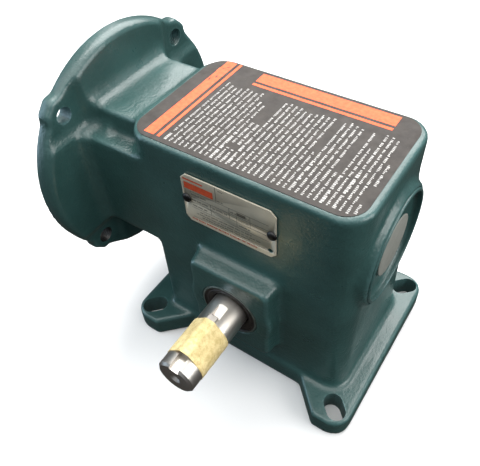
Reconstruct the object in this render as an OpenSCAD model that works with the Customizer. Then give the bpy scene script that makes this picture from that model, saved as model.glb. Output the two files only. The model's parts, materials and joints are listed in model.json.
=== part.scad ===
// Foot-mounted worm gearbox with a motor flange on its input side.
// Millimetres, +Z up. The origin is the middle of the foot pattern on the mounting face.
// The worm runs along X above the gear. The output shaft points to -Y.

/* [Foot] */
// Length of the foot along X
foot_l = 178; // [174:0.5:182]
// Width of the foot along Y
foot_w = 140.6; // [138:0.2:144]
// Thickness of the foot
foot_t = 17; // [15:0.5:18]
// Distance between slot centres along X
slot_x = 154; // [150:0.5:156]
// Distance between slot centres along Y
slot_y = 116; // [113:0.5:118]
// Width of a foot slot
slot_w = 12.7; // [11:0.1:13.5]
// Length of a foot slot, end to end
slot_l = 19; // [17:0.5:20]

/* [Body] */
// Height of the output shaft axis above the mounting face
out_h = 71.2; // [70.5:0.1:72]
// Distance from the output axis up to the worm axis
centre_d = 50.8; // [50.8:0.1:50.9]
// Output axis from the middle of the foot pattern
out_x = -1.7; // [-2.5:0.1:0]
// Height of the top face
body_h = 175.8; // [174:0.2:178]
// Width of the body along Y
body_w = 93.4; // [92:0.2:95]
// X of the left end of the body
body_x0 = -77.9; // [-79:0.1:-76]
// X of the right end of the body at the top
body_x1 = 72.3; // [72:0.1:73]
// Radius of the vertical corners of the body
corner_r = 16.5; // [14:0.5:18]
// Main wall thickness
wall = 8; // [7:0.5:9]

/* [Motor flange] */
// Diameter of the flange
flange_d = 165.1; // [160:0.1:168]
// Bolt circle of the flange
flange_pcd = 149.225; // [149:0.025:150]
// Diameter of a flange bolt hole
flange_hole_d = 11.1; // [10:0.1:12]
// Diameter of the register recess
register_d = 114.3; // [114:0.1:115]
// Depth of the register recess
register_depth = 4.8; // [4:0.1:5.5]
// X of the motor side of the flange
flange_x = -127.9; // [-128.5:0.1:-127.5]

/* [Shafts] */
// Diameter of the output shaft
out_d = 25.4; // [25:0.1:26]
// Y of the free end of the output shaft
out_end = -116.5; // [-120:0.5:-112]
// Width of the output key
key_w = 6.35; // [6:0.05:6.4]
// Turn of the output keyway from straight up
key_turn = 5; // [0:1:90]
// Bore for the motor shaft
input_bore_d = 15.875; // [15:0.025:16]
// Depth of the bore for the motor shaft
input_bore_l = 53; // [50:1:54]

/* [Gear pair] */
// Module of the gear
gear_m = 2.4; // [2.4:0.1:2.4]
// Number of teeth on the gear
gear_teeth = 30; // [30:1:30]
// Width of the bronze rim
rim_w = 22; // [18:1:24]
// Length of the worm thread
worm_l = 60; // [52:1:64]

/* [Hidden] */
$fn = 64;
hull_fn = 32;
turned_fn = 96;

worm_h = out_h + centre_d;
joined = 1; // how far one solid runs into the next
past = 1; // how far a cut runs past the surface it opens

// Colours
paint = [0.13, 0.29, 0.29];
steel = [0.72, 0.72, 0.70];
dark_steel = [0.35, 0.35, 0.36];
bronze = [0.72, 0.52, 0.25];
rubber = [0.10, 0.09, 0.08];
cast_grey = [0.4, 0.4, 0.4];

// Foot outline
foot_corner_r = 13;
foot_waist = 49.5;
foot_step = 66.7;

// Neck between the body and the flange
shank_x0 = -67.7;
neck_z0 = 86.6;
ledge_z = 158;
neck_top_z = 172.3;
neck_half = 33.5;
flange_face = -114.7;
relief_depth = 3;
relief_at = 37.6;
ear_reach = 86;
ear_half = 7;
ear_r = 2.5;
face_chamfer = 2.4;
sharp_r = 2.5;
cavity_r = 9;
draft = 1;
draft_top = 150;
top_draft = 0.1;
end_draft = 2.4;
low_corner_r = 12;
neck_into_body = 10;

// Output side
pad_y = -60.5;
pad_w = 56.4;
pad_h = 64.6;
pad_r = 4;
pad_slope = 2.4;
seal_r = 20.64;
seal_w = 6.35;
cup_r = 29.565;
cup_w = 13;
cup_mid = 39.5;
cone_bore_r = 15.875;
opening_r = 40;
cover_r = 53;
cover_t = 9;
gasket_t = 0.6;
cover_bolt_pcd = 93;
cover_bolt_d = 6.35;
cover_bolt_n = 6;
cover_bolt_turn = 30;
cover_bolt_fit = 0.6;
cover_bolt_reach = 12;
cover_dome_r = 31;
cover_dome_t = 4;
seat_y = body_w / 2 - 0.3;
cover_face = seat_y + gasket_t;
gear_seat_r = 17.5;
shoulder_r = 19.5;
cone_half = 7.9;

// Tapered roller set
roller_pitch_r = 22.6;
roller_r = 3.6;
roller_l = 10;
roller_n = 16;
roller_tilt = 11;
roller_taper = 2;
run_gap = 0.06;
pocket_gap = 0.12;
cage_half = 6.4;
track_half = 5.6;

// Input side
quill_x = -119;
quill_r = 15;
in_bearing_x = -92;
in_bearing_w = 16;
in_bearing_r = 31;
in_seal_x = -106;
in_seal_w = 8;
in_seal_r = 26;
end_bearing_x = 49;
end_bearing_w = 19;
end_bearing_r = 36;
plug_rim_x = 77.9;
plug_face_x = 72.8;
plug_t = 1.5;
plug_pad_r = 19.5;
plug_pad_x = 75.5;
seat_r = 44;
flare_x = 52;
flare_r = 46.2;
flare_end_r = 38.2;

// Filler, level and drain plugs in the rear wall: X and Z of each
plug_places = [[46, 156], [50, 30], [-54, 30]];
plug_r = 8;
plug_wall = 4;
plug_boss = 16;
plug_l = 12;

// Gear pair
gear_r = gear_m * gear_teeth / 2;
worm_r = centre_d - gear_r;
addendum = 2.2;
dedendum = 2.8;
pressure = 20;
lead = PI * gear_m;
gear_backlash = 0.25;
worm_backlash = 0.3;
gear_tooth_t = lead / 2 - gear_backlash;
worm_tooth_t = lead / 2 - worm_backlash;
gear_base_r = gear_r * cos(pressure);
gear_root_r = gear_r - dedendum;
gear_tip_r = gear_r + addendum;
rim_twist = rim_w * lead / (2 * PI * worm_r) / gear_r * 180 / PI;
rim_r = 28;
gear_key_w = 9.5;

// ---------- shared shapes ----------

function arc(c, r, a0, a1, n) = [
    for (i = [0 : n]) let(a = a0 + (a1 - a0) * i / n) c + r * [cos(a), sin(a)]
];

module rounded_rect(x0, x1, y0, y1, r) {
    translate([x0 + r, y0]) square([x1 - x0 - 2 * r, y1 - y0]);
    translate([x0, y0 + r]) square([x1 - x0, y1 - y0 - 2 * r]);
    for (x = [x0 + r, x1 - r], y = [y0 + r, y1 - r]) translate([x, y]) circle(r);
}

// A cylinder along +X from x0 to x1, centred on the worm axis.
module worm_axis(x0, x1, r, r2 = -1) {
    translate([x0, 0, worm_h]) rotate([0, 90, 0]) cylinder(h = x1 - x0, r1 = r, r2 = r2 < 0 ? r : r2);
}

// A cylinder along +Y from y0 to y1, centred on the output axis.
module out_axis(y0, y1, r, r2 = -1) {
    translate([out_x, y0, out_h]) rotate([-90, 0, 0]) cylinder(h = y1 - y0, r1 = r, r2 = r2 < 0 ? r : r2);
}

// A turned shape whose outline is [radius, distance along the axis].
module turned_out() {
    translate([out_x, 0, out_h]) rotate([-90, 0, 0]) rotate_extrude($fn = turned_fn) children();
}

module turned_worm() {
    translate([0, 0, worm_h]) rotate([0, 90, 0]) rotate_extrude($fn = turned_fn) children();
}

// Half the section of a ring, for a turned shape.
module ring(r0, r1, a0, a1) {
    translate([r0, a0]) square([r1 - r0, a1 - a0]);
}

// Moves a shape drawn about the origin to the output axis.
module at_output() {
    translate([out_x, 0, out_h]) children();
}

// A shape at each cover bolt, moved to y along the output axis and turned to point to +Y.
module at_cover_bolts(y) {
    for (i = [0 : cover_bolt_n - 1]) at_output() rotate([0, cover_bolt_turn + i * 360 / cover_bolt_n, 0])
        translate([cover_bolt_pcd / 2, y, 0]) rotate([-90, 0, 0]) children();
}

// A shape at each pipe plug, moved to y and turned to point to +Y.
module at_pipe_plugs(y) {
    for (p = plug_places) translate([p[0], y, p[1]]) rotate([-90, 0, 0]) children();
}

// ---------- housing ----------

// The foot's outline from its right end to the waist, on the side s of the X axis.
function foot_edge(s) = concat(
    arc([foot_l / 2 - foot_corner_r, s * (foot_w / 2 - foot_corner_r)], foot_corner_r, 0, s * 90, 8),
    [[foot_step, s * foot_w / 2], [foot_step - (foot_w / 2 - foot_waist), s * foot_waist]]
);
function flip_x(points) = [for (i = [len(points) - 1 : -1 : 0]) [-points[i][0], points[i][1]]];
function backward(points) = [for (i = [len(points) - 1 : -1 : 0]) points[i]];

module foot_slot() {
    square([slot_l - slot_w, slot_w], center = true);
    for (e = [-1, 1]) translate([e * (slot_l - slot_w) / 2, 0]) circle(d = slot_w);
}

module foot() {
    back = concat(foot_edge(1), flip_x(foot_edge(1)));
    front = concat(backward(flip_x(foot_edge(-1))), backward(foot_edge(-1)));
    linear_extrude(foot_t) difference() {
        polygon(concat(back, front));
        for (sx = [-1, 1], sy = [-1, 1])
            translate([sx * slot_x / 2, sy * slot_y / 2]) rotate(sx * sy * 45) foot_slot();
    }
}

// Plan of the body below the neck: sharp corners on the left, round ones on the right.
module shank_plan(grow, x1, r) {
    half = body_w / 2 + grow;
    rounded_rect(shank_x0, x1, -half, half, r, $fn = hull_fn);
    rounded_rect(shank_x0, 0, -half, half, sharp_r, $fn = hull_fn);
}

// A tapered lower body, a straight upper block, and a stepped neck out to the flange.
module body_shell() {
    neck_l = shank_x0 - flange_face + neck_into_body;
    hull() {
        translate([0, 0, foot_t / 2]) linear_extrude(1) shank_plan(draft, body_x1 + end_draft, low_corner_r);
        translate([0, 0, draft_top]) linear_extrude(1) shank_plan(top_draft, body_x1 + 2 * top_draft, corner_r);
    }
    translate([0, 0, neck_z0]) linear_extrude(body_h - neck_z0)
        rounded_rect(body_x0, body_x1, -body_w / 2, body_w / 2, corner_r);
    translate([flange_face - joined, 0, neck_z0]) {
        translate([0, -body_w / 2, 0]) cube([neck_l, body_w, ledge_z - neck_z0]);
        translate([0, -neck_half, 0]) cube([neck_l, 2 * neck_half, neck_top_z - neck_z0]);
    }
}

// A round flange with a raised cross on its inner face and an ear at each bolt hole.
module motor_flange() {
    relief_x = flange_face - relief_depth;
    translate([flange_x, 0, worm_h]) rotate([90, 0, 90]) linear_extrude(relief_x - flange_x) {
        circle(d = flange_d);
        for (a = [45, -45]) rotate(a) rounded_rect(-ear_reach, ear_reach, -ear_half, ear_half, ear_r);
    }
    intersection() {
        worm_axis(relief_x - joined, flange_face, flange_d / 2 - 0.2, flange_d / 2 - face_chamfer);
        for (size = [[relief_at, flange_d], [flange_d, relief_at]])
            translate([relief_x - joined, -size[0], worm_h - size[1]])
                cube([relief_depth + joined, 2 * size[0], 2 * size[1]]);
    }
}

module pad_slab(y, grow, r) {
    w = pad_w / 2 + grow;
    h = pad_h / 2 + grow;
    translate([out_x, y, out_h]) rotate([-90, 0, 0]) linear_extrude(1) rounded_rect(-w, w, -h, h, r, $fn = hull_fn);
}

// The block round the output seal, with sloping sides.
module output_pad() {
    hull() {
        pad_slab(pad_y, 0, pad_r);
        pad_slab(-body_w / 2, pad_slope, pad_r + 1);
    }
}

module cavity() {
    half = body_w / 2 - wall;
    translate([0, 0, foot_t + wall]) linear_extrude(body_h - foot_t - 2 * wall)
        rounded_rect(shank_x0 + wall, body_x1 - wall, -half, half, cavity_r);
}

module housing() color(paint) difference() {
    union() {
        difference() {
            union() {
                foot();
                body_shell();
                motor_flange();
                output_pad();
                worm_axis(flare_x, plug_rim_x - joined, flare_r, flare_end_r);
            }
            cavity();
        }
        worm_axis(end_bearing_x - 7, end_bearing_x + end_bearing_w, seat_r);
        out_axis(-body_w / 2, -cup_mid + cup_w / 2, cup_r + 7);
        out_axis(30, body_w / 2 - wall / 2, cover_r + 2);
        at_pipe_plugs(body_w / 2 - plug_boss) cylinder(h = plug_boss - joined, r = plug_r + plug_wall);
    }
    // output side bores, and the flat that the cover is bolted to
    out_axis(pad_y - past, pad_y + seal_w, seal_r);
    out_axis(pad_y, 0, seal_r - 1.8);
    out_axis(seat_y, body_w / 2 + 3, cover_r + 1);
    out_axis(-cup_mid - cup_w / 2, 0, cup_r);
    out_axis(20, body_w / 2 + past, opening_r);
    at_cover_bolts(body_w / 2 - cover_bolt_reach - 2) cylinder(h = 20, d = cover_bolt_d);
    // input side bores
    worm_axis(flange_x - past, flange_x + register_depth, register_d / 2);
    worm_axis(flange_x, in_seal_x, in_seal_r + 3);
    worm_axis(in_seal_x - past, in_seal_x + in_seal_w, in_seal_r);
    worm_axis(in_seal_x, in_bearing_x, in_seal_r - 1);
    worm_axis(in_bearing_x, shank_x0 + wall + past, in_bearing_r);
    for (a = [45 : 90 : 315]) translate([flange_x - past, 0, worm_h]) rotate([a, 0, 0])
        translate([0, flange_pcd / 2, 0]) rotate([0, 90, 0]) cylinder(h = 20, d = flange_hole_d);
    // closed end bores
    worm_axis(end_bearing_x - 8, plug_rim_x, in_bearing_r + 0.5);
    worm_axis(end_bearing_x, plug_rim_x + past, end_bearing_r);
    worm_axis(end_bearing_x + end_bearing_w, end_bearing_x + end_bearing_w + 1.8, end_bearing_r + 1.4);
    at_pipe_plugs(body_w / 2 - plug_boss - past) cylinder(h = plug_boss + 6, r = plug_r);
}

// ---------- output side ----------

module output_cover() color(paint) difference() {
    turned_out() {
        ring(0, opening_r - 0.05, cup_mid - cup_w / 2, cover_face);
        ring(0, cover_r, cover_face, cover_face + cover_t);
        ring(0, cover_dome_r, cover_face, cover_face + cover_t + cover_dome_t);
    }
    out_axis(cup_mid - cup_w / 2 - past, cup_mid + cup_w / 2, cup_r);
    out_axis(cup_mid, cup_mid + cup_w / 2 + 6, 24);
    at_cover_bolts(cover_face - past) cylinder(h = 20, d = cover_bolt_d + cover_bolt_fit);
}

module cover_gasket() color([0.55, 0.5, 0.4]) difference() {
    turned_out() ring(opening_r, cover_r, seat_y, cover_face);
    at_cover_bolts(cover_face - 3) cylinder(h = 6, d = cover_bolt_d + cover_bolt_fit);
}

module cover_bolts() color(dark_steel) at_cover_bolts(cover_face + cover_t) {
    cylinder(h = 4.3, d = 12.8, $fn = 6);
    translate([0, 0, -cover_t - cover_bolt_reach])
        cylinder(h = cover_t + cover_bolt_reach + joined, d = cover_bolt_d - 0.1);
}

// The output axis turned so that +Z points out of the keyway.
module key_frame() {
    at_output() rotate([0, key_turn, 0]) children();
}

keyway_floor = out_d / 2 - 3.6;
keyway_end = -65.7;
cutter_r = 20;
cutter_run = 11.4;
key_y0 = -104.5;
key_y1 = -76;

module output_shaft() color(steel) difference() {
    turned_out() {
        polygon([
            [0, out_end], [out_d / 2 - 1.5, out_end], [out_d / 2, out_end + 1.5],
            [out_d / 2, -cup_mid - 8.5], [cone_bore_r, -cup_mid - 7.5],
            [cone_bore_r, -cup_mid + cone_half], [shoulder_r, -cup_mid + cone_half],
            [shoulder_r, -15], [gear_seat_r, -15], [gear_seat_r, 20], [cone_bore_r, 20],
            [cone_bore_r, cup_mid + 7], [cone_bore_r - 1, cup_mid + 8], [0, cup_mid + 8]
        ]);
    }
    key_frame() intersection() {
        translate([-key_w / 2, out_end - past, keyway_floor]) cube([key_w, keyway_end - out_end + past, 10]);
        union() {
            translate([-10, out_end - 2, 0]) cube([20, keyway_end - out_end + 2 - cutter_run, 30]);
            translate([-10, keyway_end - cutter_run, keyway_floor + cutter_r]) rotate([0, 90, 0])
                cylinder(h = 20, r = cutter_r);
        }
    }
    gear_keyway(-13, 26, gear_seat_r - gear_key_w / 2, 10);
    out_axis(out_end - past, out_end + 5, 2);
    out_axis(out_end - 0.01, out_end + 3, 4, 1);
}

module output_key() color(dark_steel) key_frame()
    translate([-key_w / 2, key_y0, keyway_floor]) cube([key_w, key_y1 - key_y0, key_w]);

tape_y0 = -106.5;
tape_y1 = -80.2;
tape_t = 0.5;
tape_gap = 0.05;
key_edge_r = 0.3;

// Outline of the shaft and key with tape drawn tight round both.
module tape_outline(grow) {
    hull() {
        circle(out_d / 2 + grow, $fn = 64);
        for (s = [-1, 1]) translate([s * (key_w / 2 - key_edge_r), keyway_floor + key_w - key_edge_r])
            circle(key_edge_r + grow, $fn = 16);
    }
}

module key_tape() color([0.95, 0.85, 0.58]) key_frame()
    translate([0, tape_y0, 0]) rotate([90, 0, 0]) mirror([0, 0, 1])
        linear_extrude(tape_y1 - tape_y0) difference() {
            tape_outline(tape_gap + tape_t);
            tape_outline(tape_gap);
        }

module output_seal() color(rubber) turned_out() polygon([
    [seal_r, pad_y], [seal_r, pad_y + seal_w], [seal_r - 1.5, pad_y + seal_w], [seal_r - 1.5, pad_y + 2],
    [out_d / 2 + 3.5, pad_y + 2.5], [out_d / 2 + 1.5, pad_y + 5.5], [out_d / 2 + 0.05, pad_y + 4.2],
    [out_d / 2 + 0.05, pad_y + 3.9], [out_d / 2 + 1.2, pad_y + 1.2], [out_d / 2 + 4.2, pad_y + 0.8],
    [out_d / 2 + 4.8, pad_y]
]);

// Tapered roller bearing about the output axis. side is -1 in front and +1 at the rear,
// and the raceways open towards the gear.
module bearing_frame(side) {
    translate([out_x, side * cup_mid, out_h]) rotate([side * 90, 0, 0]) children();
}
function cup_inner(a) = roller_pitch_r + roller_r / cos(roller_tilt + roller_taper) + run_gap
    + a * tan(roller_tilt + roller_taper);
function cone_outer(a) = roller_pitch_r - roller_r / cos(roller_tilt - roller_taper) - run_gap
    + a * tan(roller_tilt - roller_taper);

module roller_cup(side) color(steel) bearing_frame(side) rotate_extrude($fn = turned_fn) polygon([
    [cup_inner(-cup_w / 2), -cup_w / 2], [cup_r, -cup_w / 2],
    [cup_r, cup_w / 2], [cup_inner(cup_w / 2), cup_w / 2]
]);

module roller_cone(side) color(steel) bearing_frame(side) rotate_extrude($fn = turned_fn) polygon([
    [cone_bore_r, -cone_half + 0.4], [cone_outer(-cone_half) - 0.2, -cone_half + 0.4],
    [cone_outer(-track_half), -track_half], [cone_outer(track_half), track_half],
    [cone_outer(track_half) + 1.2, track_half], [cone_outer(track_half) + 1.2, cone_half],
    [cone_bore_r, cone_half]
]);

// The rollers, grown on all sides for cutting a cage's pockets.
module rollers(side, grow = 0) {
    widen = tan(roller_taper) * roller_l / 2;
    bearing_frame(side) for (i = [0 : roller_n - 1]) rotate(i * 360 / roller_n)
        translate([roller_pitch_r, 0, 0]) rotate([0, roller_tilt, 0]) translate([0, 0, -roller_l / 2 - grow])
            cylinder(h = roller_l + 2 * grow, r1 = roller_r + grow - widen, r2 = roller_r + grow + widen, $fn = 24);
}

module roller_cage(side) color(dark_steel) difference() {
    inner = roller_pitch_r + 0.2;
    outer = roller_pitch_r + 1.5;
    lean = cage_half * tan(roller_tilt);
    bearing_frame(side) rotate_extrude($fn = turned_fn) polygon([
        [inner - lean, -cage_half], [outer - lean, -cage_half], [outer + lean, cage_half], [inner + lean, cage_half]
    ]);
    rollers(side, pocket_gap);
}

module front_cup() roller_cup(-1);
module front_cone() roller_cone(-1);
module front_rollers() color(steel) rollers(-1);
module front_cage() roller_cage(-1);
module rear_cup() roller_cup(1);
module rear_cone() roller_cone(1);
module rear_rollers() color(steel) rollers(1);
module rear_cage() roller_cage(1);

// ---------- gear and worm ----------

function involute(a) = tan(a) * 180 / PI - a;
function tooth_half(r) = gear_tooth_t / (2 * gear_r) * 180 / PI
    + involute(pressure) - involute(acos(gear_base_r / r));
function polar(r, a) = r * [sin(a), cos(a)];
flank = [gear_base_r + 0.05, gear_r - 1, gear_r + 0.6, gear_tip_r];
function tooth(a) = concat(
    [polar(gear_root_r, a - tooth_half(flank[0]) - 0.3)],
    [for (r = flank) polar(r, a - tooth_half(r))],
    [for (i = [len(flank) - 1 : -1 : 0]) polar(flank[i], a + tooth_half(flank[i]))],
    [polar(gear_root_r, a + tooth_half(flank[0]) + 0.3)]);

module gear_rim() color(bronze) difference() {
    translate([out_x, 0, out_h]) rotate([-90, 0, 0]) rotate(-rim_twist / 2)
        linear_extrude(rim_w, center = true, twist = -rim_twist, slices = 6)
            polygon([for (i = [0 : gear_teeth - 1]) each tooth(180 + i * 360 / gear_teeth)]);
    out_axis(-rim_w, rim_w, rim_r);
}

module gear_hub() color(cast_grey) difference() {
    turned_out() {
        ring(gear_seat_r, 25, -15, 15);
        ring(gear_seat_r, rim_r, -rim_w / 2 + 2, rim_w / 2 - 2);
    }
    gear_keyway(-20, 40, 0, gear_seat_r + gear_key_w / 2);
}

// A square bar below the shaft, h high from z under the axis, for the gear's key and its slots.
module gear_keyway(y, l, z, h) {
    at_output() rotate([0, 180, 0]) translate([-gear_key_w / 2, y, z]) cube([gear_key_w, l, h]);
}

module gear_key() color(dark_steel) gear_keyway(-13, 26, gear_seat_r - gear_key_w / 2, gear_key_w);

module gear_spacer() color(steel) turned_out() {
    ring(cone_bore_r, shoulder_r, 20, cup_mid - cone_half);
    ring(gear_seat_r, shoulder_r, 15, 20.01);
}

thread_steps = 30;
thread_turns = worm_l / lead - 0.6;
function thread_half(r) = worm_tooth_t / 2 - (r - worm_r) * tan(pressure);
thread_root = worm_r - dedendum - 0.3;
thread_tip = worm_r + addendum;
thread_section = [
    [-thread_half(thread_root), thread_root], [-thread_half(thread_tip), thread_tip],
    [thread_half(thread_tip), thread_tip], [thread_half(thread_root), thread_root]
];
thread_rings = round(thread_turns * thread_steps);
function thread_angle(i) = (i - thread_rings / 2) * 360 / thread_steps - 90;
thread_points = [
    for (i = [0 : thread_rings]) let(a = thread_angle(i)) for (p = thread_section)
        [out_x + lead * (a + 90) / 360 + lead / 2 + p[0], p[1] * cos(a), p[1] * sin(a)]
];
thread_sides = [for (i = [0 : thread_rings - 1], k = [0 : 3])
    [4 * i + k, 4 * i + (k + 1) % 4, 4 * i + 4 + (k + 1) % 4, 4 * i + 4 + k]];
thread_last = 4 * thread_rings;

thread_ends = [[3, 2, 1, 0], [for (k = [0 : 3]) thread_last + k]];

module worm_thread() {
    translate([0, 0, worm_h]) polyhedron(thread_points, concat(thread_sides, thread_ends));
}

worm_root_r = worm_r - dedendum;
worm_end = 70.6;
groove_r = 14.1;
collar_r = 18;
input_key_w = 4.76;
snap_t = 1.6;
eye_r = 2.4;
eye_turn = 20;

module worm_shaft() color(steel) difference() {
    union() {
        turned_worm() polygon([
            [0, quill_x], [quill_r - 1, quill_x], [quill_r, quill_x + 1],
            [quill_r, in_bearing_x + in_bearing_w], [collar_r, in_bearing_x + in_bearing_w],
            [collar_r, -69], [worm_root_r, -63], [worm_root_r, 38], [collar_r, 43],
            [collar_r, end_bearing_x], [quill_r, end_bearing_x], [quill_r, worm_end - 0.8],
            [quill_r - 0.8, worm_end], [0, worm_end]
        ]);
        worm_thread();
    }
    worm_axis(quill_x - past, quill_x + input_bore_l, input_bore_d / 2);
    translate([quill_x - past, -input_key_w / 2, worm_h])
        cube([input_bore_l + past, input_key_w, input_bore_d / 2 + 2.4]);
    for (x = [in_bearing_x - snap_t, end_bearing_x + end_bearing_w]) difference() {
        worm_axis(x, x + snap_t, quill_r + past);
        worm_axis(x - past, x + 3, groove_r);
    }
}

// A ball bearing about the worm: x of its left face, width, pitch radius, ball radius and number of balls.
in_bearing = [in_bearing_x, in_bearing_w, 23, 4.76, 9];
end_bearing = [end_bearing_x, end_bearing_w, 25.5, 6.15, 8];

module ball_track(b) {
    translate([b[2], b[0] + b[1] / 2]) circle(b[3] + run_gap);
}

module outer_ring(b, r) color(steel) turned_worm() difference() {
    ring(b[2] + 0.5 * b[3], r, b[0], b[0] + b[1]);
    ball_track(b);
}

module inner_ring(b, r) color(steel) turned_worm() difference() {
    ring(r, b[2] - 0.5 * b[3], b[0], b[0] + b[1]);
    ball_track(b);
}

module around_bearing(b) {
    for (i = [0 : b[4] - 1]) translate([b[0] + b[1] / 2, 0, worm_h]) rotate([i * 360 / b[4], 0, 0]) children();
}

module ball_row(b) color(steel) around_bearing(b) translate([0, b[2], 0]) sphere(b[3]);

module ball_cage(b) color(bronze) difference() {
    mid = b[0] + b[1] / 2;
    half = b[3] + 1.2;
    turned_worm() ring(b[2] - 1.1, b[2] + 1.1, mid - half, mid + half);
    around_bearing(b) translate([0, b[2] - 3, 0]) rotate([-90, 0, 0]) cylinder(h = 6, r = b[3] + 0.15);
}

module input_outer_ring() outer_ring(in_bearing, in_bearing_r);
module input_inner_ring() inner_ring(in_bearing, quill_r);
module input_balls() ball_row(in_bearing);
module input_ball_cage() ball_cage(in_bearing);
module thrust_outer_ring() outer_ring(end_bearing, end_bearing_r);
module thrust_inner_ring() inner_ring(end_bearing, quill_r);
module thrust_balls() ball_row(end_bearing);
module thrust_ball_cage() ball_cage(end_bearing);

module input_seal() color(rubber) turned_worm() polygon([
    [in_seal_r, in_seal_x], [in_seal_r, in_seal_x + in_seal_w], [in_seal_r - 1.6, in_seal_x + in_seal_w],
    [in_seal_r - 1.6, in_seal_x + 2], [quill_r + 4, in_seal_x + 2.4], [quill_r + 1.5, in_seal_x + 6],
    [quill_r + 0.05, in_seal_x + 4.6], [quill_r + 0.05, in_seal_x + 4.2], [quill_r + 1.4, in_seal_x + 1.2],
    [quill_r + 4.5, in_seal_x]
]);

// A rod along +X at each of a retaining ring's two eyelets, eye_at from the worm axis.
module ring_eyes(x, l, r, eye_at) {
    for (s = [-1, 1]) translate([x, 0, worm_h]) rotate([s * eye_turn, 0, 0]) translate([0, 0, -eye_at])
        rotate([0, 90, 0]) cylinder(h = l, r = r);
}

// An open retaining ring with a gap at the bottom and two eyelets.
module retaining_ring(x, r0, r1, eye_at) color(dark_steel) difference() {
    union() {
        worm_axis(x, x + snap_t, r1);
        ring_eyes(x, snap_t, eye_r, eye_at);
    }
    difference() {
        worm_axis(x - past, x + 3, r0);
        ring_eyes(x, snap_t, eye_r, eye_at);
    }
    ring_eyes(x - past, 4, 1, eye_at);
    translate([x - past, 0, worm_h]) rotate([180, 0, 0]) rotate([0, 90, 0]) linear_extrude(4)
        polygon([[0, 0], [-2 * r1, -0.28 * 2 * r1], [-2 * r1, 0.28 * 2 * r1]]);
}

module quill_retaining_ring() retaining_ring(in_bearing_x - snap_t, groove_r, 17, 16.4);
module worm_retaining_ring() retaining_ring(end_bearing_x + end_bearing_w, groove_r, 17, 16.4);
module bore_retaining_ring() retaining_ring(end_bearing_x + end_bearing_w, 33.4, end_bearing_r + 1.3, 33);

// A pressed dish with a raised flat pad in its middle.
module end_plug() color(dark_steel) turned_worm() {
    difference() {
        ring(0, end_bearing_r - 0.02, plug_face_x - plug_t, plug_rim_x);
        ring(-1, end_bearing_r - plug_t, plug_face_x, plug_rim_x + past);
    }
    ring(0, plug_pad_r, plug_face_x - plug_t, plug_pad_x);
}

// ---------- outside fittings ----------

module pipe_plugs() color(dark_steel) at_pipe_plugs(body_w / 2 - 9) difference() {
    cylinder(h = plug_l, r = plug_r - 0.05);
    translate([0, 0, plug_l / 2]) cylinder(h = 8, d = 9.2, $fn = 6);
}

plate_x0 = -36.5;
plate_x1 = 26.2;
plate_z0 = 127.2;
plate_z1 = 163.8;
plate_t = 0.8;
plate_cut = 3.5;
label_t = 0.3;
label_half = 44;
screw_z = 145.7;
screw_x = [-33.6, 23.6];
plate_y = -body_w / 2 - 0.45;

// A drawing in X and Y stood up on the front wall, y away from the origin.
module on_front(y) {
    translate([0, y, 0]) rotate([90, 0, 0]) children();
}

module nameplate() color([0.72, 0.70, 0.64]) on_front(plate_y) difference() {
    linear_extrude(plate_t) polygon([
        [plate_x0 + plate_cut, plate_z0], [plate_x1 - plate_cut, plate_z0],
        [plate_x1, plate_z0 + plate_cut], [plate_x1, plate_z1 - plate_cut],
        [plate_x1 - plate_cut, plate_z1], [plate_x0 + plate_cut, plate_z1],
        [plate_x0, plate_z1 - plate_cut], [plate_x0, plate_z0 + plate_cut]
    ]);
    for (x = screw_x) translate([x, screw_z, -past]) cylinder(h = 3, r = 1.5);
}

module nameplate_screws() color(dark_steel) on_front(plate_y - plate_t)
    for (x = screw_x) translate([x, screw_z, 0]) rotate_extrude() intersection() {
        translate([0, -1.2]) circle(3.2);
        square([4, 4]);
    }

module top_label() color([0.16, 0.13, 0.12]) translate([0, 0, body_h]) linear_extrude(label_t)
    rounded_rect(body_x0 + 3, body_x1 - 4.3, -label_half, label_half, 13);

housing();
output_cover();
cover_gasket();
cover_bolts();
output_shaft();
output_key();
key_tape();
output_seal();
front_cup();
front_cone();
front_rollers();
front_cage();
rear_cup();
rear_cone();
rear_rollers();
rear_cage();
gear_rim();
gear_hub();
gear_key();
gear_spacer();
worm_shaft();
input_outer_ring();
input_inner_ring();
input_balls();
input_ball_cage();
thrust_outer_ring();
thrust_inner_ring();
thrust_balls();
thrust_ball_cage();
input_seal();
quill_retaining_ring();
worm_retaining_ring();
bore_retaining_ring();
end_plug();
pipe_plugs();
nameplate();
nameplate_screws();
top_label();
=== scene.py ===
"""Looks for the worm gearbox: painted casting, ground steel shaft, printed plates and soft studio light."""

import json
import random
from math import cos, pi, radians, sin, sqrt

import bmesh
import bpy
import numpy as np
import openvdb
from mathutils import Matrix, Vector, noise

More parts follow.
